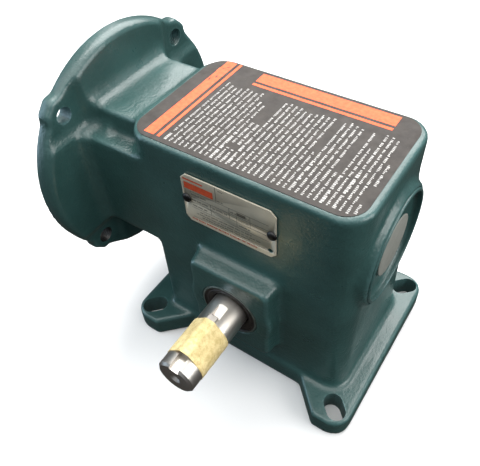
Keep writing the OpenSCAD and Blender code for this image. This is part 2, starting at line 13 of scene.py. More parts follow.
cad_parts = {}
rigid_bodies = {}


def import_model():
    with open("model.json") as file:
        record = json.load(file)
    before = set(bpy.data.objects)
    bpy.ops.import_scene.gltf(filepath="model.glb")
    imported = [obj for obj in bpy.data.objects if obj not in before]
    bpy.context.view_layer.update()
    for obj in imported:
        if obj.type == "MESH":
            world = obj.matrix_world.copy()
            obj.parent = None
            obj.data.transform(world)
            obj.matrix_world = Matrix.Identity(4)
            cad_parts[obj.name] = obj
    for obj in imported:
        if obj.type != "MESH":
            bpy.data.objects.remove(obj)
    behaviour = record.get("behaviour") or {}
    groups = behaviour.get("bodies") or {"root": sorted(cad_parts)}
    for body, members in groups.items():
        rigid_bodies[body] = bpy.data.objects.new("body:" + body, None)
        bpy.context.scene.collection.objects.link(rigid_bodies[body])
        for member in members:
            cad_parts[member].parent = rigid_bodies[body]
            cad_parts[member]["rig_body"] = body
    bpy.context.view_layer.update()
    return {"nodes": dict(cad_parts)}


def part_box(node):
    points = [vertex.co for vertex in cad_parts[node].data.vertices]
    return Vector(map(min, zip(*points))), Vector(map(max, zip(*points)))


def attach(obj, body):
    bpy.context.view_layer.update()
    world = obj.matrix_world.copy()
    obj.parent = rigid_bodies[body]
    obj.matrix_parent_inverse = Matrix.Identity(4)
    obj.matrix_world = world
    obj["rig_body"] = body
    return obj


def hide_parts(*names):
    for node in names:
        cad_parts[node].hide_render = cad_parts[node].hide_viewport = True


MM = 0.001
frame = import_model()


def box_mm(node):
    """A CAD node's corners in millimetres."""
    low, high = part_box(node)
    return low / MM, high / MM


# ---------- places, all worked out from the CAD nodes, in millimetres ----------

SHAFT_LOW, SHAFT_HIGH = box_mm("output_shaft")
SEAL_LOW, SEAL_HIGH = box_mm("output_seal")
OUT_X = (SEAL_LOW.x + SEAL_HIGH.x) / 2
OUT_H = (SEAL_LOW.z + SEAL_HIGH.z) / 2
SEAL_R = (SEAL_HIGH.x - SEAL_LOW.x) / 2
PAD_Y = SEAL_LOW.y
OUT_R = 12.7
PLUG_LOW, PLUG_HIGH = box_mm("end_plug")
WORM_H = (PLUG_LOW.z + PLUG_HIGH.z) / 2
PLUG_R = (PLUG_HIGH.z - PLUG_LOW.z) / 2
HOUSING_LOW, HOUSING_HIGH = box_mm("housing")
LABEL_LOW, LABEL_HIGH = box_mm("top_label")
PLATE_LOW, PLATE_HIGH = box_mm("nameplate")
TAPE_LOW, TAPE_HIGH = box_mm("key_tape")
HOUSING_TOP = LABEL_LOW.z
KEY_TURN = radians(5)

# ---------- camera ----------

CAMERA_PLACE = Vector((0.1250, -0.2098, 0.3606))
CAMERA_AZIMUTH = radians(37.15)
CAMERA_ELEVATION = radians(47.92)
CAMERA_ROLL = radians(-4.34)
CAMERA_LENS = 40.49


def make_camera():
    """A camera that looks down on the shaft side and the closed end."""
    back = Vector(
        (
            sin(CAMERA_AZIMUTH) * cos(CAMERA_ELEVATION),
            -cos(CAMERA_AZIMUTH) * cos(CAMERA_ELEVATION),
            sin(CAMERA_ELEVATION),
        )
    )
    right = (-back).cross(Vector((0, 0, 1))).normalized()
    up = back.cross(right)
    rolled_right = cos(CAMERA_ROLL) * right + sin(CAMERA_ROLL) * up
    rolled_up = cos(CAMERA_ROLL) * up - sin(CAMERA_ROLL) * right
    data = bpy.data.cameras.new("camera")
    data.lens = CAMERA_LENS
    data.sensor_width = 36
    data.clip_start = 0.01
    camera = bpy.data.objects.new("camera", data)
    turn = Matrix((rolled_right, rolled_up, back)).transposed()
    camera.matrix_world = Matrix.Translation(CAMERA_PLACE) @ turn.to_4x4()
    bpy.context.scene.collection.objects.link(camera)
    bpy.context.scene.camera = camera


make_camera()

# ---------- mesh helpers ----------

ALONG_Y = Matrix.Rotation(-pi / 2, 4, "X")
ALONG_X = Matrix.Rotation(pi / 2, 4, "Y")


def out_axis():
    """From a lathe's own +Z to +Y along the output shaft's axis."""
    return Matrix.Translation((OUT_X, 0, OUT_H)) @ ALONG_Y


def worm_axis():
    """From a lathe's own +Z to +X along the worm's axis."""
    return Matrix.Translation((0, 0, WORM_H)) @ ALONG_X


def new_object(name, points, faces, material=None, smooth=40):
    """A mesh object from points in millimetres."""
    mesh = bpy.data.meshes.new(name)
    mesh.from_pydata([Vector(p) * MM for p in points], [], faces)
    mesh.validate()
    mesh.update()
    made = bpy.data.objects.new(name, mesh)
    bpy.context.scene.collection.objects.link(made)
    if material:
        mesh.materials.append(material)
    if smooth:
        mesh.shade_smooth()
        mesh.set_sharp_from_angle(angle=radians(smooth))
    return made


def lathe_faces(profile, steps):
    """Points and quads of a closed profile of (radius, height) turned about Z."""
    rings = len(profile)
    points = []
    for i in range(steps):
        a = 2 * pi * i / steps
        points += [(r * cos(a), r * sin(a), h) for r, h in profile]
    faces = []
    for i in range(steps):
        j = (i + 1) % steps
        for k in range(rings):
            m = (k + 1) % rings
            faces.append((i * rings + k, j * rings + k, j * rings + m, i * rings + m))
    return points, faces


def lathe(name, profile, place, material=None, steps=96, smooth=35):
    """A turned piece. The profile runs from axis to axis or is a closed ring."""
    on_axis = min(r for r, _ in profile) < 1e-6
    if on_axis:
        inner = [p for p in profile if p[0] > 1e-6]
        ends = [p for p in profile if p[0] <= 1e-6]
        count = len(inner)
        points = []
        for i in range(steps):
            a = 2 * pi * i / steps
            points += [(r * cos(a), r * sin(a), h) for r, h in inner]
        first, last = len(points), len(points) + 1
        points += [(0, 0, ends[0][1]), (0, 0, ends[-1][1])]
        faces = []
        for i in range(steps):
            j = (i + 1) % steps
            for k in range(count - 1):
                faces.append((i * count + k, j * count + k, j * count + k + 1, i * count + k + 1))
            faces.append((first, j * count, i * count))
            faces.append((last, i * count + count - 1, j * count + count - 1))
    else:
        points, faces = lathe_faces(profile, steps)
    placed = [place @ Vector(p) for p in points]
    made = new_object(name, placed, faces, material, 0)
    fix_normals(made)
    made.data.shade_smooth()
    made.data.set_sharp_from_angle(angle=radians(smooth))
    return made


def fix_normals(piece):
    """Makes every face look outwards."""
    work = bmesh.new()
    work.from_mesh(piece.data)
    bmesh.ops.recalc_face_normals(work, faces=work.faces)
    work.to_mesh(piece.data)
    work.free()


def arc(cx, cy, r, a0, a1, steps):
    """Points of an arc, in degrees."""
    angles = [radians(a0 + (a1 - a0) * i / steps) for i in range(steps + 1)]
    return [(cx + r * cos(a), cy + r * sin(a)) for a in angles]


def prism(name, outline, low, high, place=Matrix(), material=None, smooth=30):
    """An outline in X and Y, raised along Z from low to high."""
    n = len(outline)
    points = [place @ Vector((x, y, low)) for x, y in outline]
    points += [place @ Vector((x, y, high)) for x, y in outline]
    faces = [tuple(range(n - 1, -1, -1)), tuple(range(n, 2 * n))]
    faces += [(i, (i + 1) % n, n + (i + 1) % n, n + i) for i in range(n)]
    made = new_object(name, points, faces, material, smooth)
    fix_normals(made)
    return made


def apply_modifier(piece, kind, **settings):
    """Adds a modifier and applies it at once."""
    modifier = piece.modifiers.new(kind.lower(), kind)
    for key, value in settings.items():
        setattr(modifier, key, value)
    bpy.context.view_layer.objects.active = piece
    bpy.ops.object.modifier_apply(modifier=modifier.name)


def cut(piece, cutter, operation="DIFFERENCE"):
    """Cuts one piece with another and deletes the cutter."""
    apply_modifier(piece, "BOOLEAN", object=cutter, operation=operation, solver="MANIFOLD")
    bpy.data.objects.remove(cutter)


def join(name, pieces):
    """Joins pieces into one object."""
    bpy.ops.object.select_all(action="DESELECT")
    for piece in pieces:
        piece.select_set(True)
    bpy.context.view_layer.objects.active = pieces[0]
    bpy.ops.object.join()
    pieces[0].name = name
    return pieces[0]


# ---------- materials ----------


class Nodes:
    """Short calls for building one material's node tree."""

    def __init__(self, name):
        self.material = bpy.data.materials.new(name)
        self.material.use_nodes = True
        self.tree = self.material.node_tree
        self.shader = self.tree.nodes["Principled BSDF"]
        self.place = self.add("ShaderNodeTexCoord").outputs["Object"]

    def add(self, kind, **settings):
        node = self.tree.nodes.new(kind)
        for key, value in settings.items():
            setattr(node, key, value)
        return node

    def link(self, source, target):
        self.tree.links.new(source, target)

    def stretch(self, scale):
        """Object coordinates scaled along each axis."""
        node = self.add("ShaderNodeMapping")
        node.inputs["Scale"].default_value = scale
        self.link(self.place, node.inputs["Vector"])
        return node.outputs["Vector"]

    def noise(self, scale, detail=3, rough=0.55, where=None, distortion=0):
        node = self.add("ShaderNodeTexNoise")
        node.inputs["Scale"].default_value = scale
        node.inputs["Detail"].default_value = detail
        node.inputs["Roughness"].default_value = rough
        node.inputs["Distortion"].default_value = distortion
        self.link(where or self.place, node.inputs["Vector"])
        return node.outputs["Fac"]

    def ramp(self, source, stops):
        """Colours or greys at places from 0 to 1."""
        node = self.add("ShaderNodeValToRGB")
        points = node.color_ramp.elements
        while len(points) < len(stops):
            points.new(0.5)
        for point, (place, colour) in zip(points, stops):
            point.position = place
            point.color = (*colour, 1) if isinstance(colour, tuple) else (colour, colour, colour, 1)
        self.link(source, node.inputs["Fac"])
        return node.outputs["Color"]

    def mix(self, factor, first, second, blend="MIX"):
        node = self.add("ShaderNodeMix", data_type="RGBA", blend_type=blend)
        for value, socket in ((factor, node.inputs[0]), (first, node.inputs[6]), (second, node.inputs[7])):
            if isinstance(value, (int, float)):
                socket.default_value = value
            elif isinstance(value, tuple):
                socket.default_value = (*value, 1)
            else:
                self.link(value, socket)
        return node.outputs[2]

    def math(self, operation, first, second=0.0):
        node = self.add("ShaderNodeMath", operation=operation)
        for value, socket in ((first, node.inputs[0]), (second, node.inputs[1])):
            if isinstance(value, (int, float)):
                socket.default_value = value
            else:
                self.link(value, socket)
        return node.outputs[0]

    def bump(self, height, strength, distance, under=None):
        node = self.add("ShaderNodeBump")
        node.inputs["Strength"].default_value = strength
        node.inputs["Distance"].default_value = distance
        self.link(height, node.inputs["Height"])
        if under:
            self.link(under, node.inputs["Normal"])
        return node.outputs["Normal"]

    def edges(self):
        """Near 0.5 on flats, higher on edges and lower in corners."""
        return self.add("ShaderNodeNewGeometry").outputs["Pointiness"]

    def finish(self, colour=None, rough=None, normal=None, **numbers):
        if colour is not None:
            if isinstance(colour, tuple):
                self.shader.inputs["Base Color"].default_value = (*colour, 1)
            else:
                self.link(colour, self.shader.inputs["Base Color"])
        if rough is not None:
            if isinstance(rough, (int, float)):
                self.shader.inputs["Roughness"].default_value = rough
            else:
                self.link(rough, self.shader.inputs["Roughness"])
        if normal is not None:
            self.link(normal, self.shader.inputs["Normal"])
        for key, value in numbers.items():
            self.shader.inputs[key.replace("_", " ")].default_value = value
        return self.material


def paint_material(name="cast_paint"):
    """Glossy enamel on a rough iron casting, with painted highlights on its edges and painted shade in its
    corners.
    """
    n = Nodes(name)
    tint = n.ramp(n.noise(28, 4), [(0.35, (0.024, 0.068, 0.064)), (0.7, (0.034, 0.093, 0.088))])
    speck = n.ramp(n.noise(900, 2), [(0.70, 0.0), (0.80, 1.0)])
    colour = n.mix(n.math("MULTIPLY", speck, 0.25), tint, (0.14, 0.24, 0.22))
    # Painted shade: concave corners are darkened towards a deep teal.
    painted_corner_shade = n.ramp(n.edges(), [(0.44, 1.0), (0.495, 0.0)])
    colour = n.mix(n.math("MULTIPLY", painted_corner_shade, 0.5), colour, (0.014, 0.045, 0.042))
    # Painted highlight: convex edges are lightened towards a pale aqua.
    edge = n.ramp(n.edges(), [(0.51, 0.0), (0.58, 1.0)])
    colour = n.mix(n.math("MULTIPLY", edge, 0.4), colour, (0.12, 0.25, 0.26))
    rough = n.ramp(n.noise(60, 3), [(0.3, 0.27), (0.75, 0.40)])
    peel = n.bump(n.noise(620, 2, 0.55), 0.5, 0.0005)
    cast = n.bump(n.noise(130, 4, 0.6), 0.35, 0.0012, peel)
    return n.finish(colour, rough, cast, Specular_IOR_Level=0.6, Coat_Weight=0.25, Coat_Roughness=0.16)


def steel_material(name, colour=(0.56, 0.56, 0.56), rough=(0.24, 0.36), streak=(8, 900, 8)):
    """Ground steel with fine lines around its axis."""
    n = Nodes(name)
    lines = n.noise(1, 2, 0.6, n.stretch(streak))
    blotch = n.noise(45, 3)
    worn = (colour[0] * 0.92, colour[1] * 0.87, colour[2] * 0.81)
    tone = n.ramp(blotch, [(0.3, worn), (0.72, colour)])
    fine = n.ramp(lines, [(0.3, rough[0]), (0.8, rough[1])])
    return n.finish(tone, fine, n.bump(lines, 0.03, 0.0002), Metallic=1.0)


def rubber_material(name="rubber"):
    n = Nodes(name)
    tone = n.ramp(n.noise(160, 3), [(0.35, (0.012, 0.010, 0.009)), (0.7, (0.032, 0.026, 0.022))])
    return n.finish(tone, 0.55, n.bump(n.noise(700, 2), 0.2, 0.0003))


def tape_material():
    """Crepe masking tape: pale yellow, matt, with fine cross creases and oily blots."""
    n = Nodes("masking_tape")
    blots = n.ramp(n.noise(260, 4, 0.7), [(0.36, (0.66, 0.50, 0.20)), (0.60, (0.92, 0.75, 0.38))])
    stains = n.ramp(n.noise(90, 3), [(0.50, 0.0), (0.85, 1.0)])
    colour = n.mix(n.math("MULTIPLY", stains, 0.35), blots, (0.50, 0.36, 0.13))
    crepe = n.noise(1, 2, 0.6, n.stretch((500, 1900, 500)))
    return n.finish(colour, 0.62, n.bump(crepe, 0.35, 0.0003), Subsurface_Weight=0.0, Sheen_Weight=0.1)


def aluminium_material():
    n = Nodes("plate_aluminium")
    brush = n.noise(1, 3, 0.6, n.stretch((30, 30, 1600)))
    tone = n.ramp(n.noise(70, 3), [(0.3, (0.58, 0.53, 0.42)), (0.75, (0.72, 0.66, 0.53))])
    rough = n.ramp(brush, [(0.3, 0.34), (0.75, 0.48)])
    return n.finish(tone, rough, n.bump(brush, 0.08, 0.0002), Metallic=0.3)


def film_material():
    """The dark printed film of the top label, with fine dust."""
    n = Nodes("label_film")
    tone = n.ramp(n.noise(120, 4, 0.65), [(0.35, (0.030, 0.025, 0.022)), (0.72, (0.052, 0.044, 0.038))])
    dust = n.ramp(n.noise(1300, 2), [(0.66, 0.0), (0.78, 1.0)])
    colour = n.mix(n.math("MULTIPLY", dust, 0.12), tone, (0.34, 0.32, 0.30))
    rough = n.ramp(n.noise(200, 3), [(0.3, 0.42), (0.7, 0.56)])
    return n.finish(colour, rough, n.bump(n.noise(520, 3), 0.16, 0.0004), Specular_IOR_Level=0.22)


def ink_material(name, dark, light, scale=420):
    n = Nodes(name)
    return n.finish(n.ramp(n.noise(scale, 3), [(0.35, dark), (0.65, light)]), 0.5, Specular_IOR_Level=0.25)


def plain_metal(name, dark, light, rough=0.45, metallic=1.0, scale=120):
    n = Nodes(name)
    tone = n.ramp(n.noise(scale, 4), [(0.3, dark), (0.7, light)])
    gloss = n.ramp(n.noise(scale * 2, 3), [(0.3, rough - 0.08), (0.7, rough + 0.1)])
    return n.finish(tone, gloss, n.bump(n.noise(scale * 4, 2), 0.1, 0.0004), Metallic=metallic)


PAINT = paint_material()
SHAFT = steel_material("shaft_steel", (0.70, 0.68, 0.65), (0.32, 0.42), (40, 5000, 40))
KEY = steel_material("key_steel", (0.42, 0.41, 0.40), (0.3, 0.45), (500, 12, 500))
BEARING = steel_material("bearing_steel", (0.60, 0.60, 0.61), (0.14, 0.24))
CAGE = plain_metal("cage_steel", (0.22, 0.22, 0.22), (0.34, 0.33, 0.32))
BRONZE = plain_metal("bronze", (0.36, 0.20, 0.07), (0.52, 0.31, 0.12), 0.32)
IRON = plain_metal("cast_iron", (0.06, 0.06, 0.06), (0.13, 0.125, 0.12), 0.6)
BOLT = plain_metal("bolt_steel", (0.03, 0.03, 0.032), (0.09, 0.09, 0.09), 0.42)
PLUG = plain_metal("plug_grey", (0.27, 0.28, 0.25), (0.33, 0.34, 0.31), 0.5, 0.1, 300)
GASKET = plain_metal("gasket_paper", (0.22, 0.17, 0.10), (0.34, 0.27, 0.17), 0.8, 0.0)
RUBBER = rubber_material()
BORED = plain_metal("bored_iron", (0.07, 0.07, 0.068), (0.10, 0.098, 0.094), 0.42)
SEAL_CASE = plain_metal("seal_case", (0.06, 0.085, 0.075), (0.14, 0.17, 0.155), 0.4, 0.3, 400)
TAPE = tape_material()
ALUMINIUM = aluminium_material()
FILM = film_material()
WHITE_INK = ink_material("white_ink", (0.30, 0.29, 0.28), (0.55, 0.54, 0.52))
ORANGE_INK = ink_material("orange_ink", (0.78, 0.105, 0.035), (0.93, 0.15, 0.05))
RED_INK = ink_material("red_ink", (0.42, 0.055, 0.02), (0.55, 0.09, 0.035), 900)
GREY_INK = ink_material("grey_ink", (0.10, 0.09, 0.075), (0.16, 0.15, 0.12), 900)

NODE_MATERIALS = {
    "output_shaft": SHAFT,
    "worm_shaft": SHAFT,
    "output_key": KEY,
    "gear_key": KEY,
    "gear_rim": BRONZE,
    "gear_hub": IRON,
    "gear_spacer": BEARING,
    "cover_gasket": GASKET,
    "input_ball_cage": BRONZE,
    "thrust_ball_cage": BRONZE,
    "front_cage": CAGE,
    "rear_cage": CAGE,
    "quill_retaining_ring": CAGE,
    "worm_retaining_ring": CAGE,
    "bore_retaining_ring": CAGE,
    "input_seal": RUBBER,
}
for name, node in frame["nodes"].items():
    node.data.materials.clear()
    node.data.materials.append(NODE_MATERIALS.get(name, BEARING))

# ---------- the casting ----------

VOXEL = 1.4
SMALL_FILLET = 1.8
WIDE_FILLET = 7.5
EDGE_ROUND = 1.15
FLANGE_X = HOUSING_LOW.x
FOOT_TOP = 17
SLOT_AT = (77, 58)
SLOT_HALF = 6.35
SLOT_REACH = 3.15
HOLE_CIRCLE = 74.6125
HOLE_R = 5.55
BODY_BACK = 46.7
SEAT_Y = 46.4
COVER_BOLT_CIRCLE = 46.5
PLUG_PLACES = ((46, 156), (50, 30), (-54, 30))


def arrays(piece):
    """A mesh's points in metres and its triangles."""
    mesh = piece.data
    mesh.calc_loop_triangles()
    points = np.zeros(len(mesh.vertices) * 3, np.float32)
    mesh.vertices.foreach_get("co", points)
    faces = np.zeros(len(mesh.loop_triangles) * 3, np.int32)
    mesh.loop_triangles.foreach_get("vertices", faces)
    return points.reshape(-1, 3), faces.reshape(-1, 3)


def merged(parts):
    """Several point and triangle pairs as one."""
    points, faces, start = [], [], 0
    for part_points, part_faces in parts:
        points.append(part_points)
        faces.append(part_faces + start)
        start += len(part_points)
    return np.concatenate(points), np.concatenate(faces)


def offset_surface(points, faces, offset):
    """The closed surface that lies offset millimetres outside the given one."""
    kind = "triangles" if faces.shape[1] == 3 else "quads"
    grid = openvdb.FloatGrid.createLevelSetFromPolygons(
        points.astype(np.float32),
        transform=openvdb.createLinearTransform(voxelSize=VOXEL * MM),
        halfWidth=abs(offset) / VOXEL + 3,
        **{kind: faces.astype(np.uint32)},
    )
    new_points, _, quads = grid.convertToPolygons(isovalue=offset * MM)
    return new_points, quads


def array_object(name, points, faces):
    """A mesh object from a level set's points and quads, which are wound inwards."""
    mesh = bpy.data.meshes.new(name)
    mesh.from_pydata(points.astype(float), [], faces[:, ::-1].tolist())
    mesh.update()
    made = bpy.data.objects.new(name, mesh)
    bpy.context.scene.collection.objects.link(made)
    return made


def rod(place, low, high, r, steps=64, material=None):
    """A plain cylinder along a lathe's axis."""
    return lathe("rod", [(0, low), (r, low), (r, high), (0, high)], place, material, steps)


def slot_place(sx, sy):
    turn = Matrix.Rotation(radians(sx * sy * 45), 4, "Z")
    return Matrix.Translation((sx * SLOT_AT[0], sy * SLOT_AT[1], 0)) @ turn


def slot_outline(grow):
    r = SLOT_HALF + grow
    return arc(SLOT_REACH, 0, r, -90, 90, 16) + arc(-SLOT_REACH, 0, r, 90, 270, 16)


def hole_place(angle):
    a = radians(angle)
    return Matrix.Translation((0, HOLE_CIRCLE * cos(a), WORM_H + HOLE_CIRCLE * sin(a))) @ ALONG_X


def bolt_place(i):
    a = radians(30 + 60 * i)
    at = (OUT_X + COVER_BOLT_CIRCLE * cos(a), 0, OUT_H - COVER_BOLT_CIRCLE * sin(a))
    return Matrix.Translation(at) @ ALONG_Y


def plug_place(x, z):
    return Matrix.Translation((x, 0, z)) @ ALONG_Y


CORNERS = [(sx, sy) for sx in (-1, 1) for sy in (-1, 1)]


def machining_fills():
    """Solid plugs for every bore, so that only cast edges get rounded."""
    made = [prism("fill", slot_outline(0.6), 0.05, FOOT_TOP - 0.05, slot_place(*c)) for c in CORNERS]
    made += [rod(hole_place(a), FLANGE_X + 0.05, -117.8, HOLE_R + 0.6) for a in (45, 135, 225, 315)]
    made += [rod(plug_place(x, z), 31, BODY_BACK - 0.05, 9) for x, z in PLUG_PLACES]
    made.append(rod(out_axis(), PAD_Y + 0.05, -34, SEAL_R + 10))
    made.append(rod(out_axis(), 31, BODY_BACK - 0.05, 55))
    made.append(rod(worm_axis(), FLANGE_X + 0.05, -66, 58 / 2 + 3))
    made.append(rod(worm_axis(), FLANGE_X + 0.05, FLANGE_X + 6, 58))
    made.append(rod(worm_axis(), 43, 76.8, 36.9))
    return made


def cutter(name, profile, place, material):
    return lathe(name, profile, place, material, 96)


def threaded(r, low, high):
    """A hole's profile with rings like a thread."""
    profile = [(0, low)]
    at = low
    while at < high:
        profile += [(r + 0.05, at), (r + 0.5, at + 0.8)]
        at += 1.6
    return profile + [(r, at), (0, at)]


def machining_cuts():
    """Every bore, flat and hole that is machined after casting."""
    made = [prism("cut", slot_outline(0), -2, 24, slot_place(*c), PAINT) for c in CORNERS]
    for a in (135, 315):
        made.append(rod(hole_place(a), -130, -108, HOLE_R, 48, PAINT))
    for a in (45, 225):
        made.append(cutter("cut", threaded(HOLE_R, -130, -108), hole_place(a), BORED))
    made += [rod(plug_place(x, z), 30, 52, 8, 48, BORED) for x, z in PLUG_PLACES]
    made += [rod(bolt_place(i), 33, 52, 3.175, 24, BORED) for i in range(6)]
    front = [(0, -62), (21.5, -62), (21.5, PAD_Y), (SEAL_R, PAD_Y + 0.7), (SEAL_R, -54.15), (18.84, -54.15)]
    front += [(18.84, -46), (29.565, -46), (29.565, -32), (0, -32)]
    made.append(cutter("cut", front, out_axis(), PAINT))
    rear = [(0, 20), (40, 20), (40, SEAT_Y), (54, SEAT_Y), (54, 50), (0, 50)]
    made.append(cutter("cut", rear, out_axis(), BORED))
    motor = [(0, -130), (57.15, -130), (57.15, -123.1), (29, -123.1), (29, -106), (26, -106), (26, -98)]
    motor += [(25, -98), (25, -92), (31, -92), (31, -58.7), (0, -58.7)]
    made.append(cutter("cut", motor, worm_axis(), BORED))
    closed = [(0, 41), (31.5, 41), (31.5, 49), (36, 49), (36, 68), (37.4, 68), (37.4, 69.8), (36, 69.8)]
    closed += [(36, 75.8), (37, 78), (37, 79), (0, 79)]
    made.append(cutter("cut", closed, worm_axis(), PAINT))
    return made


def flange_fillets(parts):
    """The casting near the flange with the wide fillets that carry the neck into it."""
    points, faces = merged(parts)
    for offset in (WIDE_FILLET, -WIDE_FILLET - 0.15):
        points, faces = offset_surface(points, faces, offset)
    wide = array_object("wide", points, faces)
    keep = prism("keep", [(-140, -90), (-100, -90), (-100, 90), (-140, 90)], 30, 215)
    cut(wide, keep, "INTERSECT")
    kept = arrays(wide)
    bpy.data.objects.remove(wide)
    return kept


def make_casting():
    """The CAD housing as a foundry casting, machined where other parts fit."""
    fills = machining_fills()
    parts = [arrays(frame["nodes"]["housing"])] + [arrays(f) for f in fills]
    for fill in fills:
        bpy.data.objects.remove(fill)
    parts.append(flange_fillets(parts))
    points, faces = merged(parts)
    for offset in (SMALL_FILLET, -SMALL_FILLET - EDGE_ROUND, EDGE_ROUND):
        points, faces = offset_surface(points, faces, offset)
    wave = np.array([noise.noise(Vector(p) * 70) for p in points])
    away = points - np.array([0, 0, 0.09])
    away /= np.linalg.norm(away, axis=1)[:, None]
    points = points + away * (wave * 0.12 * MM)[:, None]
    points = np.clip(points, np.array(HOUSING_LOW) * MM, np.array(HOUSING_HIGH) * MM)
    made = array_object("housing_casting", points, faces)
    made.data.materials.append(PAINT)
    for tool in machining_cuts():
        cut(made, tool)
    made.data.shade_smooth()
    made.data.set_sharp_from_angle(angle=radians(38))
    return made


def keep_piece(piece, node, body=None):
    """Stands a finished piece in for its CAD node, on the node's own body."""
    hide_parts(node)
    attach(piece, body or frame["nodes"][node]["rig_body"])
    return piece


keep_piece(make_casting(), "housing")

# ---------- output shaft, key and tape ----------


def smooth_copy(name, node, material, angle=30):
    """A CAD node's mesh, welded so that its round faces shade round."""
    made = bpy.data.objects.new(name, frame["nodes"][node].data.copy())
    bpy.context.scene.collection.objects.link(made)
    work = bmesh.new()
    work.from_mesh(made.data)
    bmesh.ops.remove_doubles(work, verts=work.verts, dist=2e-6)
    work.to_mesh(made.data)
    work.free()
    if made.data.has_custom_normals:
        bpy.context.view_layer.objects.active = made
        bpy.ops.mesh.customdata_custom_splitnormals_clear()
    made.data.shade_smooth()
    made.data.set_sharp_from_angle(angle=radians(angle))
    made.data.materials.clear()
    made.data.materials.append(material)
    return made


keep_piece(smooth_copy("output_shaft_ground", "output_shaft", SHAFT), "output_shaft")

KEY_HALF = 3.175
KEY_FLOOR = 9.1
KEY_TOP = KEY_FLOOR + 2 * KEY_HALF


def key_place():
    """From the key's own frame, with its top up, to the turned keyway."""
    return Matrix.Translation((OUT_X, 0, OUT_H)) @ Matrix.Rotation(KEY_TURN, 4, "Y")


def make_key():
    outline = [(-KEY_HALF, -104.5), (KEY_HALF, -104.5), (KEY_HALF, -76), (-KEY_HALF, -76)]
    made = prism("output_key_bar", outline, KEY_FLOOR, KEY_TOP, key_place(), KEY)
    apply_modifier(made, "BEVEL", width=0.35 * MM, segments=2)
    return made


keep_piece(make_key(), "output_key")


def hull_radius(points, steps):
    """Distances from the origin to the points' convex outline, at even angles."""
    ordered = sorted(set((round(x, 6), round(y, 6)) for x, y in points))
    sides = []
    for run in (ordered, ordered[::-1]):
        side = []
        for p in run:
            while len(side) > 1:
                (ax, ay), (bx, by) = side[-2], side[-1]
                if (bx - ax) * (p[1] - ay) - (by - ay) * (p[0] - ax) > 0:
                    break
                side.pop()
            side.append(p)
        sides += side[:-1]
    radii = []
    for i in range(steps):
        a = 2 * pi * i / steps
        dx, dy = cos(a), sin(a)
        reach = 1e9
        for k in range(len(sides)):
            (ax, ay), (bx, by) = sides[k], sides[(k + 1) % len(sides)]
            nx, ny = by - ay, ax - bx
            if nx * dx + ny * dy > 1e-9:
                reach = min(reach, (nx * ax + ny * ay) / (nx * dx + ny * dy))
        radii.append(reach)
    return radii


def make_tape():
    """Masking tape round the shaft and over the key, drawn flat between them, with creases."""
    around, along = 160, 44
    grow = 0.35
    ring = arc(0, 0, OUT_R + grow, 0, 360, 120)[:-1]
    for s in (-1, 1):
        ring += arc(s * (KEY_HALF - 0.3), KEY_TOP - 0.3, 0.3 + grow, 0, 360, 12)[:-1]
    radii = hull_radius(ring, around)
    low, high = TAPE_LOW.y, TAPE_HIGH.y
    points = []
    for j in range(along + 1):
        y = low + (high - low) * j / along
        for i in range(around):
            a = 2 * pi * i / around
            edge = min(j, along - j) / 4
            place = Vector((cos(a) * 9, y, sin(a) * 9))
            bump = 0.13 * noise.noise(place * 0.55) + 0.08 * noise.noise(place * 1.5)
            lap = 0.14 if 60 < i < 118 else 0.0
            lift = 0.05 * max(0, 1 - edge) * noise.noise(place * 0.4)
            r = min(radii[i] + bump + lap + lift, radii[i] + 0.2)
            ragged = 0.25 * noise.noise(Vector((i * 0.21, j // along, 3))) if j in (0, along) else 0
            points.append((r * cos(a), y + abs(ragged) * (1 if j == 0 else -1), r * sin(a)))
    outer = len(points)
    for j in (0, along):
        y = low + (high - low) * j / along
        for i in range(around):
            a = 2 * pi * i / around
            points.append(((radii[i] - 0.3) * cos(a), y, (radii[i] - 0.3) * sin(a)))
    faces = []
    for j in range(along):
        for i in range(around):
            k = (i + 1) % around
            faces.append((j * around + i, j * around + k, (j + 1) * around + k, (j + 1) * around + i))
    for i in range(around):
        k = (i + 1) % around
        front, back = outer + i, outer + around + i
        front_k, back_k = outer + k, outer + around + k
        faces.append((i, front, front_k, k))
        faces.append((along * around + i, along * around + k, back_k, back))
        faces.append((front, back, back_k, front_k))
    made = new_object("key_tape_wrap", [key_place() @ Vector(p) for p in points], faces, TAPE, 0)
    fix_normals(made)
    made.data.shade_smooth()
    made.data.set_sharp_from_angle(angle=radians(50))
    return made


keep_piece(make_tape(), "key_tape")

# ---------- seals, plug, cover and fasteners ----------


def seal_ring(name, place, outer, inner, face, depth, into):
    """A radial lip seal: a lacquered case, a ribbed rubber face and a lip on the shaft."""
    f = face
    s = into
    profile = [(outer, f + s * 0.35), (outer - 0.35, f), (outer - 1.3, f), (outer - 1.7, f + s * 0.7)]
    profile += [(inner + 4.9, f + s * 0.9), (inner + 4.3, f + s * 0.35), (inner + 3.4, f + s * 0.3)]
    profile += [(inner + 2.6, f + s * 0.9), (inner + 1.6, f + s * 1.2), (inner + 0.7, f + s * 2.4)]
    profile += [(inner + 0.06, f + s * 4.0), (inner + 0.06, f + s * 4.4), (inner + 1.5, f + s * depth * 0.85)]
    profile += [(inner + 3.5, f + s * 2.6), (outer - 1.6, f + s * 2.2), (outer - 1.6, f + s * depth)]
    profile += [(outer, f + s * depth)]
    made = lathe(name, profile, place, RUBBER, 128)
    made.data.materials.append(SEAL_CASE)
    centre = place @ Vector((0, 0, 0)) * MM
    for side in made.data.polygons:
        middle = side.center - centre
        if place is OUT_PLACE:
            r = sqrt(middle.x**2 + middle.z**2)
        else:
            r = sqrt(middle.y**2 + middle.z**2)
        side.material_index = 1 if r > (outer - SEAL_CASE_W) * MM else 0
    return made


OUT_PLACE = out_axis()
WORM_PLACE = worm_axis()
SEAL_CASE_W = 1.35
keep_piece(seal_ring("output_seal_ring", OUT_PLACE, SEAL_R, OUT_R, PAD_Y, 6.35, 1), "output_seal")
keep_piece(seal_ring("input_seal_ring", WORM_PLACE, 26, 15, -106, 8, 1), "input_seal")


